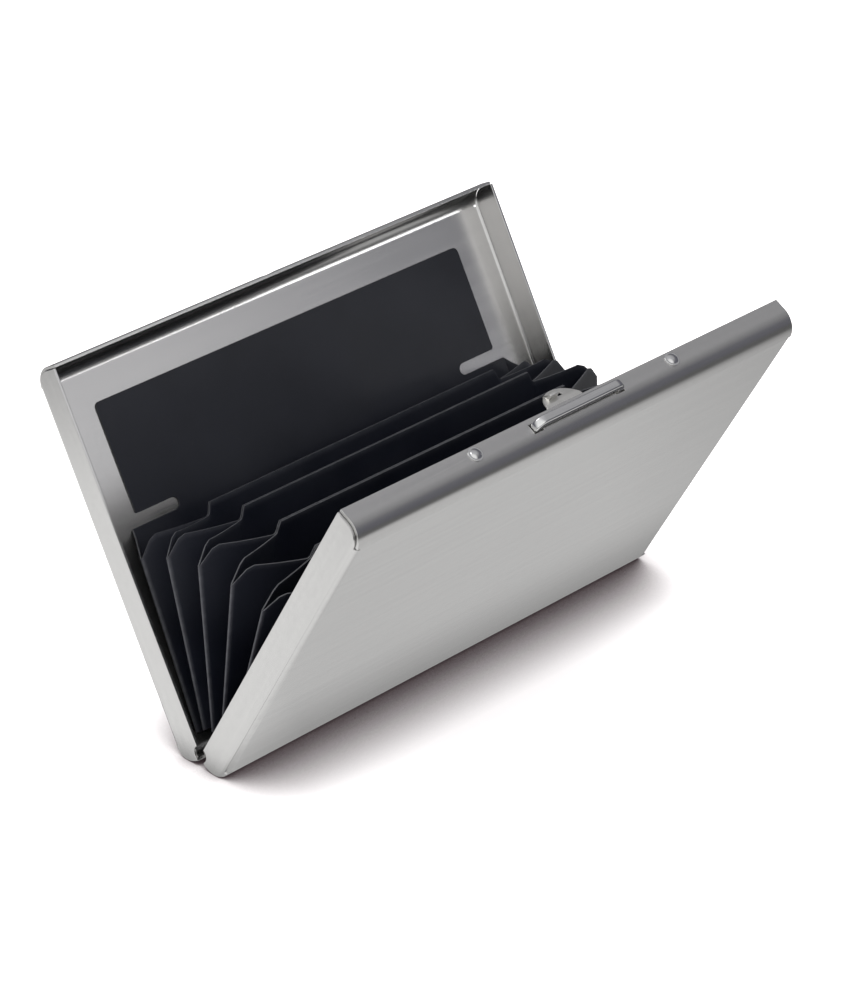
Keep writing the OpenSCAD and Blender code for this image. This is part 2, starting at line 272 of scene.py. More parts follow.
def buildHandling():
    # faint smudges and dust from being carried in a pocket
    tree = bpy.data.node_groups.new("handlingMarks", "ShaderNodeTree")
    socketOf(tree, "INPUT", "NodeSocketVector", "Place")
    socketOf(tree, "INPUT", "NodeSocketFloat", "Smudge Scale", 60.0, 1.0, 900.0)
    socketOf(tree, "INPUT", "NodeSocketFloat", "Dust Scale", 2200.0, 10.0, 9000.0)
    socketOf(tree, "OUTPUT", "NodeSocketFloat", "Smudges")
    socketOf(tree, "OUTPUT", "NodeSocketFloat", "Dust")
    groupIn = addNode(tree, "NodeGroupInput", -700, 0)
    groupOut = addNode(tree, "NodeGroupOutput", 400, 0)
    smear = addNode(tree, "ShaderNodeTexNoise", -480, 120)
    tree.links.new(groupIn.outputs["Place"], smear.inputs["Vector"])
    tree.links.new(groupIn.outputs["Smudge Scale"], smear.inputs["Scale"])
    smear.inputs["Detail"].default_value = 4.0
    smear.inputs["Distortion"].default_value = 0.6
    specks = addNode(tree, "ShaderNodeTexVoronoi", -480, -160)
    tree.links.new(groupIn.outputs["Place"], specks.inputs["Vector"])
    tree.links.new(groupIn.outputs["Dust Scale"], specks.inputs["Scale"])
    tree.links.new(rangeNode(tree, 60, 120, smear.outputs["Fac"], 0.42, 0.7, 0.0, 1.0),
                   groupOut.inputs["Smudges"])
    tree.links.new(rangeNode(tree, 60, -160, specks.outputs["Distance"], 0.05, 0.14, 1.0, 0.0),
                   groupOut.inputs["Dust"])
    return tree


brushGrain = buildBrushGrain()
edgeWear = buildEdgeWear()
handlingMarks = buildHandling()
print("stage: shader groups built")


# materials

def newMaterial(name):
    m = bpy.data.materials.new(name)
    m.use_nodes = True
    tree = m.node_tree
    tree.nodes.clear()
    out = addNode(tree, "ShaderNodeOutputMaterial", 900, 0)
    shader = addNode(tree, "ShaderNodeBsdfPrincipled", 600, 0)
    tree.links.new(shader.outputs[0], out.inputs["Surface"])
    return m, tree, shader


def groupNode(tree, group, x, y, **values):
    n = addNode(tree, "ShaderNodeGroup", x, y, node_tree=group)
    for key, value in values.items():
        n.inputs[key.replace("_", " ")].default_value = value
    return n


def mixColour(tree, x, y, factor, a, b):
    n = addNode(tree, "ShaderNodeMix", x, y, data_type="RGBA")
    if isinstance(factor, (int, float)):
        n.inputs["Factor"].default_value = factor
    else:
        tree.links.new(factor, n.inputs["Factor"])
    for i, v in ((6, a), (7, b)):
        if isinstance(v, tuple):
            n.inputs[i].default_value = (*v, 1.0)
        else:
            tree.links.new(v, n.inputs[i])
    return n.outputs[2]


def bumpNode(tree, x, y, height, strength, distance, normal=None):
    n = addNode(tree, "ShaderNodeBump", x, y)
    tree.links.new(height, n.inputs["Height"])
    n.inputs["Strength"].default_value = strength
    n.inputs["Distance"].default_value = distance
    if normal is not None:
        tree.links.new(normal, n.inputs["Normal"])
    return n.outputs["Normal"]


def brushedMetal(name, look):
    # metal with hairlines along the sheet's U direction
    m, tree, shader = newMaterial(name)
    sheetUv = addNode(tree, "ShaderNodeUVMap", -900, 100, uv_map="sheet")
    place = addNode(tree, "ShaderNodeTexCoord", -900, -300)
    grain = groupNode(tree, brushGrain, -650, 100,
                      Line_Spacing=look["lineSpacing"], Line_Length=look["lineLength"])
    tree.links.new(sheetUv.outputs[0], grain.inputs["Sheet"])
    marks = groupNode(tree, handlingMarks, -650, -300, Smudge_Scale=look["smudgeScale"])
    tree.links.new(place.outputs["Object"], marks.inputs["Place"])
    wear = groupNode(tree, edgeWear, -650, -550, Reach=look["wearReach"])
    tree.links.new(place.outputs["Object"], wear.inputs["Place"])

    tint = mixColour(tree, -350, 300, grain.outputs["Bands"], look["dark"], look["light"])
    lineTint = rangeNode(tree, -350, 80, grain.outputs["Lines"], 0.0, 1.0, 1.0 - look["lineDepth"], 1.0)
    lined = addNode(tree, "ShaderNodeMix", -100, 300, data_type="RGBA", blend_type="MULTIPLY")
    lined.inputs["Factor"].default_value = 1.0
    tree.links.new(tint, lined.inputs[6])
    tree.links.new(lineTint, lined.inputs[7])
    worn = mixColour(tree, 150, 300, wear.outputs["Mask"], lined.outputs[2], look["wornEdge"])
    tree.links.new(worn, shader.inputs["Base Color"])

    rough = rangeNode(tree, -350, -60, grain.outputs["Bands"], 0.0, 1.0,
                      look["rough"] - look["roughSpread"], look["rough"] + look["roughSpread"])
    smudged = mathNode(tree, "MULTIPLY", -350, -260, marks.outputs["Smudges"], look["smudgeRough"])
    rough = mathNode(tree, "ADD", -100, -60, rough, smudged)
    wornRough = mathNode(tree, "MULTIPLY", -100, -260, wear.outputs["Mask"], -0.1)
    rough = mathNode(tree, "ADD", 150, -60, rough, wornRough, clamp=True)
    tree.links.new(rough, shader.inputs["Roughness"])

    normal = bumpNode(tree, -100, -480, grain.outputs["Clouds"], 0.35, look["waviness"])
    if look["lineRelief"]:
        normal = bumpNode(tree, 150, -480, grain.outputs["Lines"], 0.5, look["lineRelief"], normal)
    tree.links.new(normal, shader.inputs["Normal"])
    tangent = addNode(tree, "ShaderNodeTangent", 150, -700, direction_type="UV_MAP", uv_map="sheet")
    tree.links.new(tangent.outputs[0], shader.inputs["Tangent"])
    shader.inputs["Metallic"].default_value = 1.0
    shader.inputs["Anisotropic"].default_value = look["anisotropy"]
    return m


shellFinish = {
    "light": (0.63, 0.625, 0.615), "dark": (0.595, 0.59, 0.583), "wornEdge": (0.8, 0.79, 0.78),
    "lineSpacing": 0.08, "lineLength": 22.0, "lineDepth": 0.025, "lineRelief": 0,
    "rough": 0.24, "roughSpread": 0.012, "smudgeRough": 0.02, "smudgeScale": 55.0,
    "waviness": 0.000003, "anisotropy": 0.45, "wearReach": 0.1,
}
springFinish = {
    "light": (0.74, 0.73, 0.7), "dark": (0.66, 0.65, 0.62), "wornEdge": (0.85, 0.84, 0.82),
    "lineSpacing": 0.1, "lineLength": 3.0, "lineDepth": 0.05, "lineRelief": 0.0000007,
    "rough": 0.36, "roughSpread": 0.04, "smudgeRough": 0.04, "smudgeScale": 200.0,
    "waviness": 0.000006, "anisotropy": 0.2, "wearReach": 0.25,
}
polishedFinish = {
    "light": (0.8, 0.8, 0.79), "dark": (0.72, 0.72, 0.72), "wornEdge": (0.9, 0.9, 0.9),
    "lineSpacing": 0.07, "lineLength": 5.0, "lineDepth": 0.04, "lineRelief": 0.0000008,
    "rough": 0.12, "roughSpread": 0.03, "smudgeRough": 0.06, "smudgeScale": 300.0,
    "waviness": 0.000006, "anisotropy": 0.3, "wearReach": 0.2,
}
wireFinish = dict(springFinish, rough=0.28, lineLength=8.0, anisotropy=0.35)

shellSteel = brushedMetal("brushedShellSteel", shellFinish)
springSteel = brushedMetal("springSteel", springFinish)
polishedSteel = brushedMetal("polishedSteel", polishedFinish)
wireSteel = brushedMetal("hingeWireSteel", wireFinish)

vinylFinish = {
    "dark": (0.0034, 0.004, 0.0072), "light": (0.0056, 0.0065, 0.011),
    "scuff": (0.055, 0.056, 0.064), "rough": 0.38, "roughSpread": 0.06, "grainScale": 5200.0,
    "cutDark": (0.013, 0.0135, 0.016), "cutLight": (0.036, 0.037, 0.042),
}


def blackVinyl(name, look):
    # smooth calendered sheet: a fine pebble, slow sheen, pale scuffs where it is folded
    m, tree, shader = newMaterial(name)
    sheetUv = addNode(tree, "ShaderNodeUVMap", -900, 100, uv_map="sheet")
    fold = addNode(tree, "ShaderNodeAttribute", -900, -500, attribute_name="foldWear")
    marks = groupNode(tree, handlingMarks, -650, -200, Smudge_Scale=70.0, Dust_Scale=900.0)
    tree.links.new(sheetUv.outputs[0], marks.inputs["Place"])
    pebble = noiseNode(tree, -650, 200, sheetUv.outputs[0], look["grainScale"], 2.0, 0.6)
    slow = noiseNode(tree, -650, 400, sheetUv.outputs[0], 60.0, 3.0, 0.5)
    slow = rangeNode(tree, -450, 400, slow, 0.35, 0.65, 0.0, 1.0)
    base = mixColour(tree, -200, 300, slow, look["dark"], look["light"])
    dust = mathNode(tree, "MULTIPLY", -200, -100, marks.outputs["Dust"], 0.06)
    base = mixColour(tree, 50, 300, dust, base, look["scuff"])
    breakup = noiseNode(tree, -650, -420, sheetUv.outputs[0], 800.0, 3.0, 0.6)
    whitened = mathNode(tree, "MULTIPLY", -200, -480, fold.outputs["Fac"], breakup)
    whitened = mathNode(tree, "MULTIPLY", 0, -480, whitened, 1.2, clamp=True)
    base = mixColour(tree, 300, 300, whitened, base, look["scuff"])
    tree.links.new(base, shader.inputs["Base Color"])
    rough = rangeNode(tree, -200, 60, slow, 0.0, 1.0,
                      look["rough"] - look["roughSpread"], look["rough"] + look["roughSpread"])
    smudged = mathNode(tree, "MULTIPLY", 0, -100, marks.outputs["Smudges"], 0.08)
    tree.links.new(mathNode(tree, "ADD", 300, 60, rough, smudged, clamp=True), shader.inputs["Roughness"])
    normal = bumpNode(tree, 50, -260, pebble, 0.25, 0.00001)
    normal = bumpNode(tree, 300, -260, slow, 0.3, 0.00006, normal)
    tree.links.new(normal, shader.inputs["Normal"])
    shader.inputs["Specular IOR Level"].default_value = 0.36
    return m


def cutVinyl(name, look):
    # the sheet's sheared edge, paler and rougher than its face
    m, tree, shader = newMaterial(name)
    place = addNode(tree, "ShaderNodeTexCoord", -700, 0)
    wear = groupNode(tree, edgeWear, -450, -250, Breakup_Scale=1500.0, Reach=0.2)
    tree.links.new(place.outputs["Object"], wear.inputs["Place"])
    shear = noiseNode(tree, -450, 100, place.outputs["Object"], 1100.0, 3.0, 0.6)
    shear = rangeNode(tree, -250, 100, shear, 0.35, 0.65, 0.0, 1.0)
    base = mixColour(tree, 0, 150, shear, look["cutDark"], look["cutLight"])
    base = mixColour(tree, 250, 150, wear.outputs["Mask"], base, look["cutLight"])
    tree.links.new(base, shader.inputs["Base Color"])
    tree.links.new(rangeNode(tree, 0, -60, shear, 0.0, 1.0, 0.45, 0.65), shader.inputs["Roughness"])
    tree.links.new(bumpNode(tree, 250, -200, shear, 0.4, 0.00002), shader.inputs["Normal"])
    return m


vinylSheet = blackVinyl("blackVinylSheet", vinylFinish)
vinylCut = cutVinyl("blackVinylCutEdge", vinylFinish)
print("stage: materials built")


# steel parts: the stamped shapes with their sheared edges eased

def weldedCopy(nodeName):
    bm = bmesh.new()
    bm.from_mesh(nodes[nodeName].data)
    bmesh.ops.remove_doubles(bm, verts=bm.verts, dist=1e-7)
    bmesh.ops.dissolve_limit(bm, angle_limit=math.radians(0.6), verts=bm.verts, edges=bm.edges)
    return bm


# where the two end flanges lie in the unwrapped sheet, in mm, clear of its face
endPlace = {"right": 200, "left": 240}


def sheetUnwrap(piece, angle, front):
    # U runs along the hinge and V follows the bent sheet round; on the end flanges U runs up the case
    mesh = piece.data
    layer = mesh.uv_layers.new(name="sheet")
    flatDepth = case["depth"] - case["bend"]
    quarter = case["bend"] * math.pi / 2
    tall = case["height"] - 2 * case["bend"]
    for poly in mesh.polygons:
        endFace = abs(poly.normal.x) > 0.75
        for li in poly.loop_indices:
            x, y, z = lyingDown(angle, mesh.vertices[mesh.loops[li].vertex_index].co)
            y = -y if front else y
            if endFace:
                layer.data[li].uv = (z * 0.001, (y + endPlace["right" if x > 0 else "left"]) * 0.001)
                continue
            low, high = z < case["bend"], z > case["height"] - case["bend"]
            if y > flatDepth and (low or high):
                rise = case["bend"] - z if low else z - (case["height"] - case["bend"])
                turn = math.atan2(y - flatDepth, max(rise, 1e-6))
                v = flatDepth + case["bend"] * turn
                v = v if low else 2 * (flatDepth + quarter) + tall - v
            elif low and y <= flatDepth:
                v = y
            elif high and y <= flatDepth:
                v = 2 * (flatDepth + quarter) + tall - y
            else:
                v = flatDepth + quarter + z - case["bend"]
            layer.data[li].uv = (x * 0.001, v * 0.001)


def easedPiece(bm, pieceName, material, look, angle, front=True):
    sharp = [e for e in bm.edges
             if len(e.link_faces) == 2 and e.calc_face_angle(0) > math.radians(look["sharpAbove"])]
    bmesh.ops.bevel(bm, geom=sharp, offset=look["ease"], offset_type="OFFSET", segments=look["steps"],
                    profile=0.5, affect="EDGES", clamp_overlap=False)
    piece = meshPiece(pieceName, bm, [material])
    for p in piece.data.polygons:
        p.use_smooth = True
    weighted = piece.modifiers.new("flatFaces", "WEIGHTED_NORMAL")
    weighted.mode = "FACE_AREA"
    weighted.weight = 60
    weighted.keep_sharp = False
    bakeModifiers(piece)
    sheetUnwrap(piece, angle, front)
    return piece


def easedPart(nodeName, pieceName, material, look, angle, front=True):
    piece = easedPiece(weldedCopy(nodeName), pieceName, material, look, angle, front)
    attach(piece, body_of(nodes[nodeName])[0])
    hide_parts(nodeName)
    return piece


shellEase = {"ease": 0.00007, "steps": 2, "sharpAbove": 35}
smallEase = {"ease": 0.00006, "steps": 2, "sharpAbove": 35}

rearShell = easedPart("rear_shell", "rearShell", shellSteel, shellEase, -halfOpen, front=False)
frontShell = easedPart("front_shell", "frontShell", shellSteel, shellEase, halfOpen)
hingePin = easedPart("hinge_pin", "hingePin", wireSteel, smallEase, -halfOpen, front=False)
spring = {"bendStart": 19.8, "bendEnd": 10.4, "cuts": 9}


def springArm(name, side):
    # one arm of the strip, cut into short lengths so that it can bend down with the tab
    bm = weldedCopy("spring_arms")
    bmesh.ops.delete(bm, geom=[v for v in bm.verts if v.co.x * side < 0], context="VERTS")
    span = spring["bendStart"] - spring["bendEnd"]
    for k in range(spring["cuts"] + 1):
        x = side * (spring["bendEnd"] + 0.1 + span * k / spring["cuts"])
        bmesh.ops.bisect_plane(bm, geom=bm.verts[:] + bm.edges[:] + bm.faces[:],
                               plane_co=mmVec(x, 0, 0), plane_no=(1, 0, 0))
    arm = easedPiece(bm, name, springSteel, smallEase, halfOpen)
    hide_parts("spring_arms")
    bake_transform(arm, "front_shell", "latch", start=mmVec(side * spring["bendStart"], 0, 0),
             end=mmVec(side * spring["bendEnd"], 0, 0))
    return arm


springArm("springArm_left", -1)
springArm("springArm_right", 1)
latchTab = easedPart("latch_tab", "latchTab", springSteel, smallEase, halfOpen)
thumbBar = easedPart("thumb_bar", "thumbBar", polishedSteel, dict(smallEase, ease=0.0003, steps=4), halfOpen)
rivetPair = easedPart("rivets", "rivetPair", polishedSteel, smallEase, halfOpen)
print("stage: steel parts eased")


# the folding card insert

insert = {
    "pockets": 6,
    "wall": 0.2,           # sheet thickness
    "cadWall": 0.3,        # thickness of the same wall in the CAD part
    "offLeaf": 0.15,       # how far a sheet's middle stands off its leaf's own plane
    "skew": 0.25,          # how far the middle dividers lean to the front, in pockets
    "skewPower": 1.7,      # where along the fan that lean is greatest
    "creaseShift": 0.08,   # the side creases stand this far to the rear of mid-pocket, in pockets
    "panelFace": 5.05,     # where the glued panels touch the shells
    "low": 3.1,            # bottom edge of the walls
    "top": 36.0,           # straight top edge
    "shoulder": 34.0,      # just past the rounded ends of the top edge
    "shoulderX": 32.25,
    "flatX": 31.2,
    "foldX": 41.2,         # where the top edge is cut down to the crease
    "foldTop": 34.6,
    "creaseX": 43.95,
    "creaseTop": 31.4,
    "noseRadius": 0.24,
    "panelX": 41.0,
    "wingOverlap": 0.15,   # the end wings start this far inside the panel's end
    "wallX": 32.4,         # where a divider wall leaves for its crease
    "wallBlendX": 32.0,    # from here outward a divider wall turns with the hinge
    "slotLow": 36.1,
    "slotHeight": 2.0,
    "slotX": 31.0,
    "tongueX": 39.4,
    "tongueTop": 56.2,
    "tongueCorner": 0.9,
    "rows": 14,
}
cadWall = insert["cadWall"]
wallGap = (2 * (insert["panelFace"] - cadWall) - 10 * cadWall) / 6
wallPitch = wallGap + 2 * cadWall


def leafAngle(c):
    # the dividers stand a little unevenly, closer together towards the front
    lean = insert["skew"] * math.sin(math.pi * (c / insert["pockets"]) ** insert["skewPower"])
    return -halfOpen + 2 * halfOpen * (c + lean) / insert["pockets"]


def leafDepth(c):
    return insert["panelFace"] - cadWall - wallGap / 2 - (c - 0.5) * wallPitch


def leafPoint(c, off, x, z):
    return standing(leafAngle(c), x, leafDepth(c) + off, z)


def topEdge(x):
    # height of a divider's top edge out to the crease
    i = insert
    if x <= i["flatX"]:
        return i["top"]
    if x <= i["shoulderX"]:
        t = (x - i["flatX"]) / (i["shoulderX"] - i["flatX"])
        return i["top"] + (i["shoulder"] - i["top"]) * easeIn(t ** 0.8)
    if x <= i["foldX"]:
        t = (x - i["shoulderX"]) / (i["foldX"] - i["shoulderX"])
        return i["shoulder"] + (i["foldTop"] - i["shoulder"]) * t * t
    t = (x - i["foldX"]) / (i["creaseX"] - i["foldX"])
    return i["foldTop"] + (i["creaseTop"] - i["foldTop"]) * min(1.0, t)


def panelTopEdge(x):
    # the glued panels run out level to their edge, then drop to the crease
    i = insert
    if x <= i["panelX"]:
        return i["slotLow"]
    t = (x - i["panelX"]) / (i["creaseX"] - i["panelX"])
    return i["slotLow"] + (i["creaseTop"] - i["slotLow"]) * min(1.0, t ** 0.85)


def wingPath(reach, leaveX):
    # plan of a wing from where it leaves its leaf to the crease: straight, then round the nose
    r = insert["noseRadius"] - insert["wall"] / 2
    cx = insert["creaseX"] - insert["wall"] / 2 - r
    dx, dv = leaveX - cx, reach
    far = math.hypot(dx, dv)
    beta = math.atan2(dv, dx) - math.acos(min(1.0, r / far))
    tx, tv = cx + r * math.cos(beta), r * math.sin(beta)
    line = [(leaveX + (tx - leaveX) * t, dv + (tv - dv) * t)
            for t in (0.0, 0.03, 0.08, 0.16, 0.3, 0.45, 0.6, 0.72, 0.82, 0.9, 0.96, 1.0)]
    nose = [(cx + r * math.cos(beta * (1 - s / 5)), r * math.sin(beta * (1 - s / 5))) for s in range(1, 6)]
    return line + nose


def halfWall(name, leaf, toward, side, leaveX, startX, top, offset):
    # one wall of a pocket from the middle out to its crease, on one side
    bm = bmesh.new()
    uvLayer = bm.loops.layers.uv.new("sheet")
    wearLayer = bm.verts.layers.float.new("foldWear")
    flatXs = [x for x in (0, 8, 16, 22, 26, 29, 30.4, 31.2, 31.5, 31.75, 32.0) if startX <= x < leaveX - 0.1]
    if leaveX > 40:
        flatXs = []
    middle = (leaf + toward) / 2 - (0.0 if min(leaf, toward) == 0 else insert["creaseShift"])
    rows = insert["rows"]
    grid = []
    nominal = flatXs + [p[0] for p in wingPath(4.0, leaveX)]
    count = len(nominal)
    for r in range(rows + 1):
        t = r / rows
        t = 1 - (1 - t) ** 1.35
        line = []
        for j in range(count):
            z = insert["low"] + (top(nominal[j]) - insert["low"]) * t
            here = leafPoint(leaf, offset, 0, z)
            mid = leafPoint(middle, 0, 0, z)
            across = here - mid
            reach = across.length * 1000
            outward = across.normalized()
            if j < len(flatXs):
                u, v = flatXs[j], reach
                tangent = Vector((1, 0))
            else:
                path = wingPath(reach, leaveX)
                k = j - len(flatXs)
                u, v = path[k]
                a, b = path[max(0, k - 1)], path[min(len(path) - 1, k + 1)]
                tangent = Vector((b[0] - a[0], b[1] - a[1])).normalized()
                if k == len(path) - 1:
                    tangent = Vector((0, -1))
                if k == 0 and flatXs:
                    tangent = (Vector((1, 0)) + tangent).normalized()
            faceOut = Vector((-tangent.y, tangent.x))
            centre = Vector((0, 0, 0)) + mid + outward * (v * 0.001)
            centre.x = u * 0.001
            push = outward * faceOut.y
            push.x += faceOut.x
            push = push * (insert["wall"] / 2 * 0.001)
            outer, inner = centre + push, centre - push
            pair = []
            for p in (outer, inner):
                vert = bm.verts.new((p.x * side, p.y, p.z))
                nearCrease = easeIn(1 - abs(u - insert["creaseX"]) / 0.7) if j >= count - 8 else 0.0
                nearTop = easeIn(1 - (top(nominal[j]) - z) / 0.5) * 0.4
                vert[wearLayer] = max(nearCrease, nearTop)
                pair.append(vert)
            line.append((pair, u, z))
        grid.append(line)

    def face(verts, uvs, slotIndex):
        f = bm.faces.new(verts)
        f.material_index = slotIndex
        for loop, uv in zip(f.loops, uvs):
            loop[uvLayer].uv = (uv[0] * 0.001, uv[1] * 0.001)
        return f

    for r in range(rows):
        for j in range(count - 1):
            a, b = grid[r][j], grid[r][j + 1]
            c, d = grid[r + 1][j + 1], grid[r + 1][j]
            uvs = [(side * q[1], q[2]) for q in (a, b, c, d)]
            for s in (0, 1):
                face([q[0][s] for q in (a, b, c, d)], uvs, 0)
    for j in range(count - 1):
        for r in (0, rows):
            a, b = grid[r][j], grid[r][j + 1]
            uvs = [(side * a[1], a[2]), (side * b[1], b[2]), (side * b[1], b[2]), (side * a[1], a[2])]
            face([a[0][0], b[0][0], b[0][1], a[0][1]], uvs, 1)
    for j in (0, count - 1):
        for r in range(rows):
            a, b = grid[r][j], grid[r + 1][j]
            uvs = [(side * a[1], a[2]), (side * b[1], b[2]), (side * b[1], b[2]), (side * a[1], a[2])]
            face([a[0][0], b[0][0], b[0][1], a[0][1]], uvs, 1)
    piece = meshPiece(name, bm, [vinylSheet, vinylCut])
    for e in piece.data.edges:
        e.use_edge_sharp = False
    piece.data.set_sharp_from_angle(angle=math.radians(40))
    return piece


def bodyOfLeaf(c):
    if c == 0:
        return "rear_shell"
    return "front_panel" if c == insert["pockets"] else f"divider_{c}"


def glueOnPanel(name, leaf, front):
    # the flat panel glued to a shell, with its tongue above the two slots
    i = insert
    outline = [(-i["panelX"], i["low"]), (i["panelX"], i["low"]), (i["panelX"], i["slotLow"])]
    slotR = i["slotHeight"] / 2

    def arc(cx, cz, r, a0, a1, steps):
        return [(cx + r * math.cos(math.radians(a0 + (a1 - a0) * s / steps)),
                 cz + r * math.sin(math.radians(a0 + (a1 - a0) * s / steps))) for s in range(steps + 1)]

    right = arc(i["slotX"] + slotR, i["slotLow"] + slotR, slotR, 270, 90, 10)
    corner = i["tongueCorner"]
    tongueLow = i["slotLow"] + i["slotHeight"]
    right += arc(i["tongueX"] - corner * 0.4, tongueLow + corner * 0.4, corner * 0.4, -90, 0, 5)
    right += arc(i["tongueX"] - corner, i["tongueTop"] - corner, corner, 0, 90, 8)
    outline += right
    outline += [(-x, z) for x, z in reversed(right)]
    outline.append((-i["panelX"], i["slotLow"]))
    bm = bmesh.new()
    uvLayer = bm.loops.layers.uv.new("sheet")
    wearLayer = bm.verts.layers.float.new("foldWear")
    sign = -1 if front else 1
    levels = (i["panelFace"] - i["wall"], i["panelFace"])
    rings = [[bm.verts.new(standing(leafAngle(leaf), x, sign * y, z)) for x, z in outline] for y in levels]
    faces = [bm.faces.new(rings[0]), bm.faces.new(list(reversed(rings[1])))]
    n = len(outline)
    rims = [bm.faces.new([rings[0][k], rings[1][k], rings[1][(k + 1) % n], rings[0][(k + 1) % n]])
            for k in range(n)]
    for f in rims:
        f.material_index = 1
    for f in faces + rims:
        for loop in f.loops:
            x, y, z = lyingDown(leafAngle(leaf), loop.vert.co)
            loop[uvLayer].uv = (x * 0.001, z * 0.001)
    for v in bm.verts:
        v[wearLayer] = 0.0
    edges = [e for e in bm.edges if any(f in faces for f in e.link_faces)]
    bmesh.ops.bevel(bm, geom=edges, offset=0.00005, segments=2, profile=0.5, affect="EDGES",
                    clamp_overlap=True)
    bmesh.ops.triangulate(bm, faces=[f for f in bm.faces if len(f.verts) > 8])
    piece = meshPiece(name, bm, [vinylSheet, vinylCut], smooth=False)
    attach(piece, bodyOfLeaf(leaf))
    return piece


def wingBlend(piece, owner, other, side, startX):
    # the wing follows its leaf where it leaves it, and half the fold at the crease
    crease = 44.0
    endX = 2 * crease - startX
    first, second = sorted((owner, other))
    start, end = (startX, endX) if owner == first else (endX, startX)
    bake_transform(piece, bodyOfLeaf(first), bodyOfLeaf(second),
             start=mmVec(side * start, 0, 0), end=mmVec(side * end, 0, 0))


def pocketFloor(name, k):
    # the rounded fold that joins a pocket's two walls at the bottom
    bm = bmesh.new()
    uvLayer = bm.loops.layers.uv.new("sheet")
    wearLayer = bm.verts.layers.float.new("foldWear")
    z = insert["low"]
    rear = leafPoint(k - 1, -insert["offLeaf"], 0, z)
    front = leafPoint(k, insert["offLeaf"], 0, z)
    middle, half = (rear + front) / 2, (rear - front) / 2
    down = Vector((0, half.z, -half.y)).normalized()
    if down.z > 0:
        down.negate()
    drop = min(half.length, 0.0006)
    xs = [-31.6 + 63.2 * j / 16 for j in range(17)]
    steps = 10
    grid = []
    for x in xs:
        line = []
        for s in range(steps + 1):
            a = math.pi * s / steps
            direction = half * math.cos(a) + down * (drop * math.sin(a))
            thick = direction.normalized() * (insert["wall"] / 2 * 0.001)
            pair = []
            for p in (middle + direction + thick, middle + direction - thick):
                vert = bm.verts.new((x * 0.001, p.y, p.z))
                vert[wearLayer] = 0.2
                pair.append(vert)
            line.append(pair)
        grid.append(line)

    def face(verts):
        f = bm.faces.new(verts)
        for loop in f.loops:
            loop[uvLayer].uv = (loop.vert.co.x, loop.vert.co.y)

    for j in range(len(xs) - 1):
        for s in range(steps):
            for q in (0, 1):
                face([grid[j][s][q], grid[j + 1][s][q], grid[j + 1][s + 1][q], grid[j][s + 1][q]])
        for s in (0, steps):
            face([grid[j][s][0], grid[j + 1][s][0], grid[j + 1][s][1], grid[j][s][1]])
    for j in (0, len(xs) - 1):
        for s in range(steps):
            face([grid[j][s][0], grid[j][s + 1][0], grid[j][s + 1][1], grid[j][s][1]])
    piece = meshPiece(name, bm, [vinylSheet])
    piece.data.set_sharp_from_angle(angle=math.radians(50))
    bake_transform(piece, bodyOfLeaf(k - 1), bodyOfLeaf(k), start=middle + half, end=middle - half)
    return piece


sideName = {-1: "left", 1: "right"}
lastPocket = insert["pockets"]
off = insert["offLeaf"]
wingX = insert["panelX"] - insert["wingOverlap"]
for k in range(1, lastPocket + 1):
    for side in (-1, 1):
        where = sideName[side]
        # rear wall, on the leaf behind the pocket
        if k == 1:
            rear = halfWall(f"pocket{k}_rearWing_{where}", 0, 1, side, wingX, 40, panelTopEdge, off)
            wingBlend(rear, 0, 1, side, insert["panelX"])
        else:
            rear = halfWall(f"pocket{k}_rearWall_{where}", k - 1, k, side, insert["wallX"], 0, topEdge, -off)
            wingBlend(rear, k - 1, k, side, insert["wallBlendX"])
        # front wall, on the leaf in front of it
        if k == lastPocket:
            front = halfWall(f"pocket{k}_frontWing_{where}", k, k - 1, side, wingX, 40, panelTopEdge, -off)
            wingBlend(front, k, k - 1, side, insert["panelX"])
        else:
            front = halfWall(f"pocket{k}_frontWall_{where}", k, k - 1, side, insert["wallX"], 0, topEdge, off)
            wingBlend(front, k, k - 1, side, insert["wallBlendX"])
        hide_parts(f"pocket_{k}_bellows", f"pocket_{k}_rear")
        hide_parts(f"pocket_{k}_bellows", f"pocket_{k}_front")
    pocketFloor(f"pocket{k}_bottomFold", k)
rearPanel = glueOnPanel("rearGluedPanel", 0, False)
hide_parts("pocket_1_rear")
frontPanel = glueOnPanel("frontGluedPanel", lastPocket, True)
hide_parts("pocket_6_front")
print("stage: card insert folded")


# table, lights and camera

studio = {
    # the table's own colour, and the painted shadow colour mixed into it close under the case
    "tableColour": (0.9, 0.875, 0.88), "paintedShadowColour": (0.075, 0.055, 0.06),
    "daylight": 2.4,
    # painted reflection: how bright the table glows for glossy rays, as polished metal mirrors it, with
    # painted shade along the contact line
    "mirroredLeft": 1.02, "mirroredMiddle": 0.71, "mirroredRight": 0.53, "mirroredFar": 0.12,
    "paintedContactShade": 0.5, "nearEdge": 0.12, "farEdge": 0.23,
    "keyPower": 1.6, "keySize": 0.5, "keyPlace": (-0.35, 0.3, 0.9),
    "glintPower": 0.2, "glintSize": 0.12, "glintPlace": (0.42, -0.5, 0.11),
    "washPower": 0.21, "washSize": 0.3, "washPlace": (0.288, -0.55, 0.24),
    "windowWay": (-0.62, -0.61, 0.49), "windowLevel": 0.95,
    "skyLevels": ((0.0, 0.115), (0.36, 0.12), (0.53, 0.22), (0.68, 0.33), (1.0, 0.5)),
}


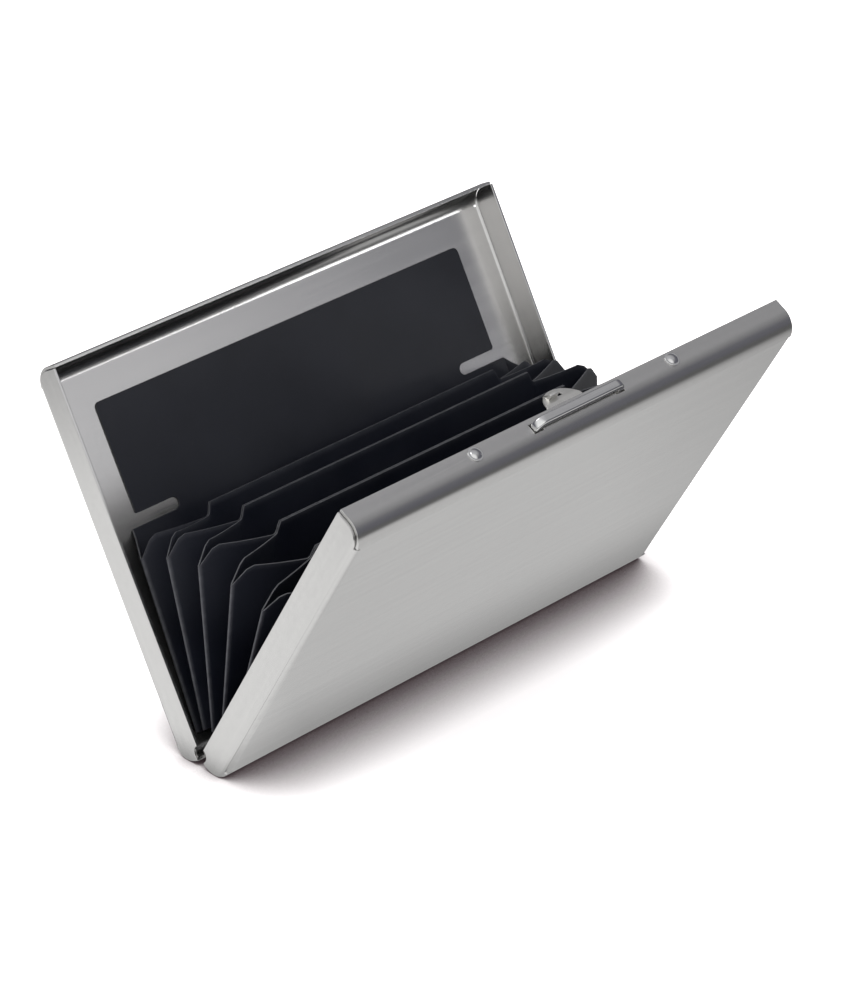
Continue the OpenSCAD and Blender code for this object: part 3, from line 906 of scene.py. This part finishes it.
def paleTable():
    # an even white table for camera and matt rays; for glossy rays it glows instead, a painted reflection for
    # polished metal to mirror, which fades out with distance
    m, tree, shader = newMaterial("paleTable")
    place = addNode(tree, "ShaderNodeTexCoord", -1100, 0)
    tooth = noiseNode(tree, -450, 300, place.outputs["Object"], 700.0, 2.0, 0.5)
    low = tuple(c * 0.985 for c in studio["tableColour"])
    paper = mixColour(tree, 0, 200, tooth, low, studio["tableColour"])
    # painted shadow: an ambient occlusion mask darkens the table's colour close under the case, in a shade
    # warmer than the paper
    shade = addNode(tree, "ShaderNodeAmbientOcclusion", -700, 500, samples=8)
    shade.inputs["Distance"].default_value = 0.013
    openness = rangeNode(tree, -500, 500, shade.outputs["AO"], 0.25, 0.95, 0.0, 1.0)
    paper = mixColour(tree, 250, 250, openness, studio["paintedShadowColour"], paper)
    tree.links.new(paper, shader.inputs["Base Color"])
    shader.inputs["Roughness"].default_value = 0.9
    shader.inputs["Specular IOR Level"].default_value = 0.0

    # painted reflection for glossy rays, set by position on the table: brighter towards the left end, dimmer
    # to the right
    split = addNode(tree, "ShaderNodeSeparateXYZ", -900, -100)
    tree.links.new(place.outputs["Object"], split.inputs[0])
    flat = addNode(tree, "ShaderNodeVectorMath", -900, -300, operation="MULTIPLY")
    flat.inputs[1].default_value = (1, 1, 0)
    tree.links.new(place.outputs["Object"], flat.inputs[0])
    away = addNode(tree, "ShaderNodeVectorMath", -700, -300, operation="LENGTH")
    tree.links.new(flat.outputs[0], away.inputs[0])
    left = rangeNode(tree, -500, 0, split.outputs[0], -0.055, -0.03,
                     studio["mirroredLeft"], studio["mirroredMiddle"])
    drop = rangeNode(tree, -500, -250, split.outputs[0], 0.045, 0.1,
                     0.0, studio["mirroredRight"] - studio["mirroredMiddle"])
    near = mathNode(tree, "ADD", -300, -100, left, drop)
    # painted shade in the reflection along the contact line, left out past the left end
    beside = mathNode(tree, "ABSOLUTE", -700, -500, split.outputs[1])
    contact = rangeNode(tree, -500, -500, beside, 0.004, 0.012, studio["paintedContactShade"], 1.0)
    clearOfEnd = rangeNode(tree, -500, -620, split.outputs[0], -0.052, -0.044, 1.0, 0.0)
    contact = mathNode(tree, "MAXIMUM", -300, -500, contact, clearOfEnd)
    near = mathNode(tree, "MULTIPLY", -150, -100, near, contact)
    # painted shade in the reflection behind the case
    behind = mathNode(tree, "ADD", -500, -900, split.outputs[0], split.outputs[1])
    paintedShadeBehind = rangeNode(tree, -300, -900, behind, 0.1, 0.2, 1.0, 0.3)
    near = mathNode(tree, "MULTIPLY", 0, -300, near, paintedShadeBehind)
    fade = rangeNode(tree, -500, -700, away.outputs["Value"], studio["nearEdge"], studio["farEdge"], 0.0, 1.0)
    mirrored = addNode(tree, "ShaderNodeMix", 50, -150)
    tree.links.new(fade, mirrored.inputs["Factor"])
    tree.links.new(near, mirrored.inputs[2])
    mirrored.inputs[3].default_value = studio["mirroredFar"]
    # the table glows with this painted brightness for glossy rays only
    glow = addNode(tree, "ShaderNodeEmission", 300, -150)
    tree.links.new(mirrored.outputs[0], glow.inputs["Strength"])
    path = addNode(tree, "ShaderNodeLightPath", 300, -350)
    choose = addNode(tree, "ShaderNodeMixShader", 800, -150)
    tree.links.new(path.outputs["Is Glossy Ray"], choose.inputs[0])
    tree.links.new(shader.outputs[0], choose.inputs[1])
    tree.links.new(glow.outputs[0], choose.inputs[2])
    tree.links.new(choose.outputs[0], tree.nodes["Material Output"].inputs["Surface"])
    bm = bmesh.new()
    bmesh.ops.create_grid(bm, x_segments=1, y_segments=1, size=3.0)
    table = meshPiece("table", bm, [m], smooth=False)
    table.location.z = cadBox[0].z - 0.00002
    return table


def softLight(name, place, size, power, aim):
    lamp = bpy.data.lights.new(name, "AREA")
    lamp.shape = "SQUARE"
    lamp.size = size
    lamp.energy = power
    o = bpy.data.objects.new(name, lamp)
    o.location = place
    o.rotation_euler = (Vector(aim) - Vector(place)).to_track_quat("-Z", "Y").to_euler()
    bpy.context.scene.collection.objects.link(o)
    return o


def studioSky():
    # even daylight for matt surfaces, and a darker graded room for shiny ones to mirror
    world = bpy.data.worlds.new("studioSky")
    world.use_nodes = True
    bpy.context.scene.world = world
    tree = world.node_tree
    tree.nodes.clear()
    out = addNode(tree, "ShaderNodeOutputWorld", 800, 0)
    sky = addNode(tree, "ShaderNodeBackground", 600, 0)
    direction = addNode(tree, "ShaderNodeTexCoord", -400, 0)
    split = addNode(tree, "ShaderNodeSeparateXYZ", -200, 0)
    ramp = addNode(tree, "ShaderNodeValToRGB", 0, 0)
    tree.links.new(direction.outputs["Generated"], split.inputs[0])
    tree.links.new(split.outputs[2], ramp.inputs[0])
    levels = studio["skyLevels"]
    marks = ramp.color_ramp.elements
    marks[0].position, marks[1].position = levels[0][0], levels[-1][0]
    for place, level in levels[1:-1]:
        marks.new(place)
    for mark, (place, level) in zip(marks, levels):
        mark.color = (level, level, level * (1.2 if place < 0.5 else 1.04), 1)
    # one broad bright side to the room
    toWindow = addNode(tree, "ShaderNodeVectorMath", -200, -300, operation="DOT_PRODUCT")
    toWindow.inputs[1].default_value = studio["windowWay"]
    tree.links.new(direction.outputs["Generated"], toWindow.inputs[0])
    window = rangeNode(tree, 0, -300, toWindow.outputs["Value"], 0.5, 0.8, 0.0, 1.0)
    room = mixColour(tree, 200, -150, window, ramp.outputs[0], (studio["windowLevel"],) * 3)
    path = addNode(tree, "ShaderNodeLightPath", 0, 300)
    day = studio["daylight"]
    seen = mixColour(tree, 400, 0, path.outputs["Is Glossy Ray"], (day, day, day), room)
    tree.links.new(seen, sky.inputs[0])
    tree.links.new(sky.outputs[0], out.inputs[0])


paleTable()
softLight("overheadSoftbox", studio["keyPlace"], studio["keySize"], studio["keyPower"], (0, 0, 0.03))
insideCase = (0, 0.03, 0.055)
glint = softLight("bendGlint", studio["glintPlace"], studio["glintSize"], studio["glintPower"], insideCase)
wash = softLight("innerWash", studio["washPlace"], studio["washSize"], studio["washPower"], insideCase)
rearOnly = bpy.data.collections.new("rearOnly")
rearOnly.objects.link(rearShell)
rearOnly.objects.link(rearPanel)
for lamp in (glint, wash):
    lamp.light_linking.receiver_collection = rearOnly
studioSky()

viewpoint = {"azimuth": -45.203, "elevation": 29.325, "roll": 0.218, "distance": 0.5964,
             "aim": (0.000936, 0.0, 0.02817), "lens": 137.53, "sensor": 36.0}


def placeCamera():
    cam = bpy.data.objects.new("camera", bpy.data.cameras.new("camera"))
    bpy.context.scene.collection.objects.link(cam)
    a, e = math.radians(viewpoint["azimuth"]), math.radians(viewpoint["elevation"])
    back = Vector((math.sin(a) * math.cos(e), -math.cos(a) * math.cos(e), math.sin(e)))
    cam.location = Vector(viewpoint["aim"]) + back * viewpoint["distance"]
    turn = (-back).to_track_quat("-Z", "Y").to_matrix().to_4x4()
    turn = turn @ Matrix.Rotation(math.radians(viewpoint["roll"]), 4, "Z")
    cam.rotation_euler = turn.to_euler()
    cam.data.lens = viewpoint["lens"]
    cam.data.sensor_width = viewpoint["sensor"]
    cam.data.clip_start, cam.data.clip_end = 0.01, 20.0
    bpy.context.scene.camera = cam


placeCamera()
bpy.context.scene.view_settings.view_transform = "Standard"
print("stage: table, lights and camera placed")
